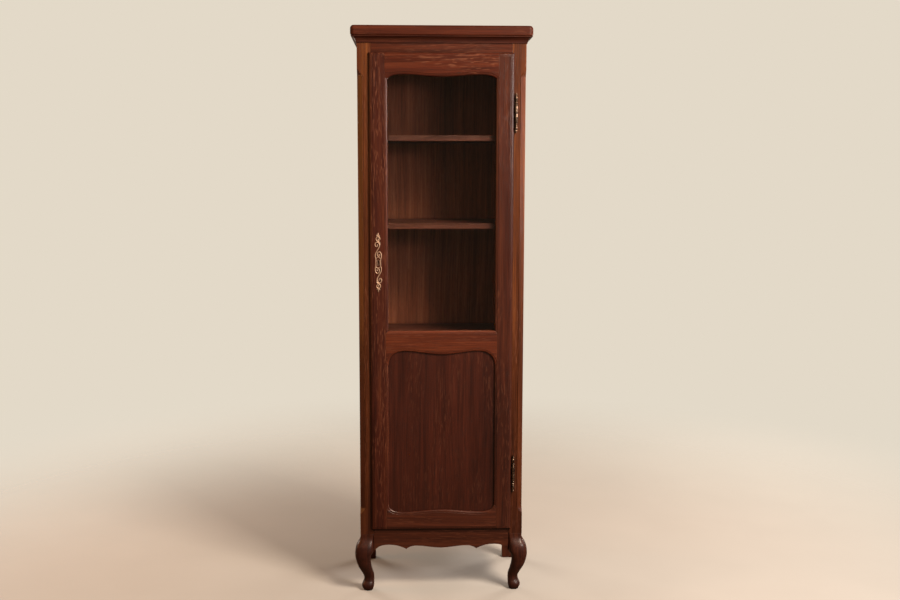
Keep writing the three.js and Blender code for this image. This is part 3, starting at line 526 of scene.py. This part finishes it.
def turnings():
    """The hinge's profile as (radius, height): one swelling after another, with a narrow neck between."""
    height = HINGE_JOINT
    profile = [(NECK, height)]
    steps = 12
    for number, (radius, length, square, lean) in enumerate(TURNINGS, 1):
        last = number == len(TURNINGS)
        for i in range(1, steps + 1):
            t = (1 - math.cos(math.pi * i / steps)) / 2
            bulge = (1 - abs(2 * t**lean - 1) ** square) ** (1 / square)
            neck = NECK * (1 - t) + 0.2 * t if last else NECK
            profile.append((neck + (radius - neck) * bulge, height + length * t))
        height += length
    return profile


def plate(mesh, low, high, bevel=0.4 * MM):
    """A box between two corners with rounded edges."""
    low, high = Vector(low), Vector(high)
    made = bmesh.ops.create_cube(mesh, size=1.0)["verts"]
    for vert in made:
        vert.co = (low + high) / 2 + Vector(a * b for a, b in zip(vert.co, high - low))
    edges = list({edge for vert in made for edge in vert.link_edges})
    bmesh.ops.bevel(mesh, geom=edges, offset=bevel, segments=2, affect="EDGES", clamp_overlap=True)


LEAF_HALF = 1.0 * MM  # half of a leaf's thickness
LEAF_ROOT = 3.6 * MM  # how far from the pin's axis a leaf starts

for level in ("upper", "lower"):
    low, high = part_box(f"{level}_hinge_pin")
    axis = (low + high) / 2
    for half, body, flip in (("post", "carcass", -1), ("door", "door", 1)):
        node = f"{level}_hinge_{half}_half"
        shape = bmesh.new()
        turned(shape, turnings(), axis, flip=flip)
        box_low, box_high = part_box(node)
        leaf_z = sorted((axis.z + flip * 0.4 * MM, axis.z + flip * 27 * MM))
        if half == "post":
            leaf_low = (axis.x - LEAF_HALF, axis.y + LEAF_ROOT, leaf_z[0])
            leaf_high = (axis.x + LEAF_HALF, box_high.y, leaf_z[1])
        else:
            leaf_low = (box_low.x, axis.y - LEAF_HALF, leaf_z[0])
            leaf_high = (axis.x - LEAF_ROOT, axis.y + LEAF_HALF, leaf_z[1])
        plate(shape, leaf_low, leaf_high)
        make(f"{level}_hinge_{half}_casting", shape, DARK_BRASS, body, [node])

# ------------------------------------------------------------------ escutcheon


# The scrollwork above the keyhole's middle: each strand's points (x, z) in millimetres and its thickest
# radius. The lower half is the same, turned by half a turn.
SCROLLS = {
    "bar_and_curl": (
        1.5,
        [(7.8, -15), (7.6, 0), (8.4, 11), (10.2, 20), (9.6, 29), (4.8, 35.2), (-1.2, 33.6), (-3.6, 27.4)]
        + [(-1.4, 21.2), (3.2, 20.6), (5, 24.6), (2.6, 27)],
    ),
    "long_s": (
        1.6,
        [(-7.8, 12), (-10, 20), (-9, 29), (-5.2, 36.5), (-1.6, 43), (1.8, 48.6), (4.2, 55.4), (2.8, 62.8)]
        + [(-2.6, 67.6), (-8.6, 65), (-10.4, 58.4), (-7, 53.2), (-2.6, 54.2), (-2.2, 58.4)],
    ),
    "short_s": (
        1.5,
        [(4.2, 54.5), (5.4, 62), (3, 68.4), (-2.6, 71.4), (-6.6, 75.4), (-6.2, 81.4), (-1.4, 85), (4.2, 83)]
        + [(5.8, 77.4), (2.6, 73.6), (-0.8, 75.4), (0, 78.6)],
    ),
    "point": (1.8, [(-1.4, 83.5), (-0.4, 90), (0.2, 98)]),
    "leaf_left": (1.3, [(0, 84.6), (-3.4, 87.2), (-6, 91.4)]),
    "leaf_right": (1.3, [(0.2, 84.4), (3.2, 87), (4.8, 90.6)]),
    "bridge": (1.0, [(-7.8, 13.5), (-4, 16.4), (0, 17.2), (4, 16.4), (7.8, 13.5)]),
}
CURL_BEADS = [((2.6, 26.4), 2.1), ((-2.5, 58.2), 2.1), ((0.1, 78.2), 1.9)]
KEYHOLE_EDGE = [(0.4, -10.4), (2.3, -9.6), (2.5, -4), (2.6, 1), (3.8, 3), (3.8, 6.4), (1.9, 8.6), (0, 8.9)]


def strand(mesh, path, origin, thick, thin, flat=0.6, sides=10):
    """A tapering rod of flattened section along a plane path of millimetres (x, z), laid on a face."""
    rings = []
    last = len(path) - 1
    for i, here in enumerate(path):
        along = (path[min(i + 1, last)] - path[max(i - 1, 0)]).normalized()
        across = Vector((-along.y, along.x))
        swell = math.sin(math.pi * (0.06 + 0.88 * i / last)) ** 0.6
        radius = thin + (thick - thin) * swell
        ring = []
        for k in range(sides):
            angle = 2 * math.pi * k / sides
            flank = here + across * radius * math.cos(angle)
            ring.append(origin + Vector((flank.x, -radius * flat * (1 + math.sin(angle)), flank.y)) * MM)
        rings.append(ring)
    skin(mesh, rings)


def bead(mesh, origin, at, radius):
    """A small dome on the face."""
    steps, sides = 5, 14
    rings = []
    for i in range(steps + 1):
        rise = math.pi / 2 * i / steps
        out = max(radius * math.cos(rise), 0.05)
        depth = -radius * 0.95 * math.sin(rise)
        angles = [2 * math.pi * k / sides for k in range(sides)]
        rim = [(at[0] + out * math.cos(a), depth, at[1] + out * math.sin(a)) for a in angles]
        rings.append([origin + Vector(point) * MM for point in rim])
    skin(mesh, rings)


def escutcheon_mesh(origin):
    mesh = bmesh.new()
    for turn in (1, -1):
        for thick, points in SCROLLS.values():
            path = smooth_curve([turn * Vector(point) for point in points], 6)
            strand(mesh, path, origin, thick, 0.9)
        for at, radius in CURL_BEADS:
            bead(mesh, origin, (turn * at[0], turn * at[1]), radius)
        edge = smooth_curve([Vector((turn * x, z)) for x, z in KEYHOLE_EDGE], 4)
        strand(mesh, edge, origin, 0.5, 0.4)
    bmesh.ops.recalc_face_normals(mesh, faces=mesh.faces)
    return mesh


low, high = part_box("escutcheon")
plate_face = Vector(((low.x + high.x) / 2, high.y + 0.1 * MM, (low.z + high.z) / 2))
make("escutcheon_scrollwork", escutcheon_mesh(plate_face), BRASS, "door", ["escutcheon"])

# ------------------------------------------------------------------ screws


SLOT_HALF = 0.45  # half of the width of a screw's slot, in millimetres
SCREW_INSET = 6 * MM


def prism(mesh, outline, rise):
    """A solid between an outline of points and the same outline moved by rise."""
    foot = [mesh.verts.new(point) for point in outline]
    top = [mesh.verts.new(point + rise) for point in outline]
    count = len(outline)
    for i in range(count):
        mesh.faces.new((foot[i], foot[(i + 1) % count], top[(i + 1) % count], top[i]))
    mesh.faces.new(foot[::-1])
    mesh.faces.new(top)


def screw(mesh, at, out, radius, slot_angle):
    """A slotted screw head on a face at a point, with out as the face's outward direction."""
    side = Vector((0, 0, 1))
    other = out.cross(side)
    steps = 20

    def spot(reach, angle):
        turn = angle + slot_angle
        return at + (side * math.cos(turn) + other * math.sin(turn)) * reach * MM

    prism(mesh, [spot(radius, 2 * math.pi * i / steps) for i in range(steps)], out * 0.3 * MM)
    notch = math.asin(SLOT_HALF / radius)
    for start in (0, math.pi):
        angles = [start + notch + (math.pi - 2 * notch) * i / steps for i in range(steps + 1)]
        prism(mesh, [spot(radius * 0.97, angle) for angle in angles], out * 0.75 * MM)


def screws(name, body, out, places, radius):
    mesh = bmesh.new()
    for i, place in enumerate(places):
        screw(mesh, place, out, radius, 0.5 + 1.3 * i)
    bmesh.ops.recalc_face_normals(mesh, faces=mesh.faces)
    made = make(name, mesh, STEEL, body)
    for face in made.data.polygons:
        face.use_smooth = False
    bevel = made.modifiers.new("soft_edges", "BEVEL")
    bevel.width = 0.12 * MM
    bevel.segments = 2
    bevel.limit_method = "ANGLE"


low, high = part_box("lock_case")
corners = [
    Vector((x, high.y, z))
    for x in (low.x + SCREW_INSET, high.x - SCREW_INSET)
    for z in (low.z + SCREW_INSET, high.z - SCREW_INSET)
]
screws("lock_case_screws", "door", Vector((0, 1, 0)), corners, 2.8)
low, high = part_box("strike_plate")
ends = [Vector((high.x, (low.y + high.y) / 2, z)) for z in (low.z + SCREW_INSET, high.z - SCREW_INSET)]
screws("strike_plate_screws", "carcass", Vector((1, 0, 0)), ends, 2.6)

# ------------------------------------------------------------------ stage, camera and lights

floor_mesh = bmesh.new()
bmesh.ops.create_grid(floor_mesh, x_segments=1, y_segments=1, size=14)
floor_data = bpy.data.meshes.new("floor")
floor_mesh.to_mesh(floor_data)
floor_mesh.free()
floor = bpy.data.objects.new("floor", floor_data)
bpy.context.scene.collection.objects.link(floor)
floor_tree = Tree("floor_pale")
across = floor_tree.vector("MULTIPLY", floor_tree.place(), (1, 1, 0))
grit = floor_tree.noise(across, (3, 3, 3), detail=3)
paint = floor_tree.mix(grit, colour("b4b2ae"), colour("bcbab6"))
paint = floor_tree.mix(straight_look(floor_tree), colour("5f4a38"), paint)
solid = floor_tree.node("ShaderNodeBsdfPrincipled", {"Base Color": paint, "Roughness": 0.8}).outputs[0]
clear = floor_tree.node("ShaderNodeBsdfTransparent").outputs[0]
away = floor_tree.node("ShaderNodeVectorMath", {0: across}, operation="LENGTH").outputs["Value"]
fade = floor_tree.between(away, 0.9, 3.2)
faded = floor_tree.node("ShaderNodeMixShader", {0: fade, 1: solid, 2: clear}).outputs[0]
floor_tree.node("ShaderNodeOutputMaterial", {"Surface": faded})
floor_data.materials.append(floor_tree.owner)

CAMERA = Vector((-93.1, -3805.3, 1457.3)) * MM
YAW, PITCH, ROLL = (math.radians(angle) for angle in (1.908, 6.995, 0.115))
LENS = 44.0
camera = bpy.data.objects.new("camera", bpy.data.cameras.new("camera"))
bpy.context.scene.collection.objects.link(camera)
camera.data.lens = LENS
camera.data.sensor_width = 36.0
forward = Vector((math.sin(YAW) * math.cos(PITCH), math.cos(YAW) * math.cos(PITCH), -math.sin(PITCH)))
right = Vector((math.cos(YAW), -math.sin(YAW), 0))
up = right.cross(forward)
level, plumb = right * math.cos(ROLL) + up * math.sin(ROLL), up * math.cos(ROLL) - right * math.sin(ROLL)
camera.matrix_world = Matrix.Translation(CAMERA) @ Matrix((level, plumb, -forward)).transposed().to_4x4()
bpy.context.scene.camera = camera


def area_light(name, place, target, size, power, tint):
    data = bpy.data.lights.new(name, "AREA")
    data.shape = "RECTANGLE"
    data.size, data.size_y = size
    data.energy = power
    data.color = colour(tint)[:3]
    light = bpy.data.objects.new(name, data)
    bpy.context.scene.collection.objects.link(light)
    light.location = place
    light.visible_camera = False
    light.visible_transmission = False
    light.rotation_mode = "QUATERNION"
    light.rotation_quaternion = (Vector(target) - Vector(place)).to_track_quat("-Z", "Y")


# Each light's place, the point it is aimed at, its size in metres, its power in watts and its tint.
LIGHTS = {
    "key": ((1.95, -2.3, 3.5), (0, 0, 1.1), (1.1, 1.1), 180, "ffe6cc"),
    "window": ((2.35, -2.35, 1.86), (0.25, -0.17, 1.75), (1.7, 0.34), 76, "fdf0e8"),
    "right": ((2.7, -0.15, 1.55), (0.25, -0.15, 1.45), (0.35, 0.9), 6, "ffd8dc"),
    "left": ((-2.75, 0.0, 1.5), (-0.28, -0.1, 1.2), (1.0, 2.0), 18, "ff9840"),
    "fill": ((-1.9, -3.0, 2.6), (0, 0, 1.2), (1.6, 1.6), 9, "ffd2a0"),
    "back_left": ((-2.4, 2.8, 1.35), (0, 0, 1.0), (1.6, 1.0), 75, "ffeedd"),
    "back_right": ((2.6, 2.6, 1.35), (0, 0, 1.0), (1.6, 1.0), 75, "ffeedd"),
}
for name, settings in LIGHTS.items():
    area_light(name, *settings)

world = bpy.data.worlds.new("studio")
bpy.context.scene.world = world
sky = Tree("studio", world)
shown = sky.node("ShaderNodeBackground", {"Color": colour("e3d9c8")}).outputs[0]
lit = sky.node("ShaderNodeBackground", {"Color": colour("ffe2c0"), "Strength": 0.16}).outputs[0]
both = sky.node("ShaderNodeMixShader", {0: straight_look(sky), 1: lit, 2: shown}).outputs[0]
sky.node("ShaderNodeOutputWorld", {"Surface": both})
bpy.context.scene.view_settings.view_transform = "Standard"
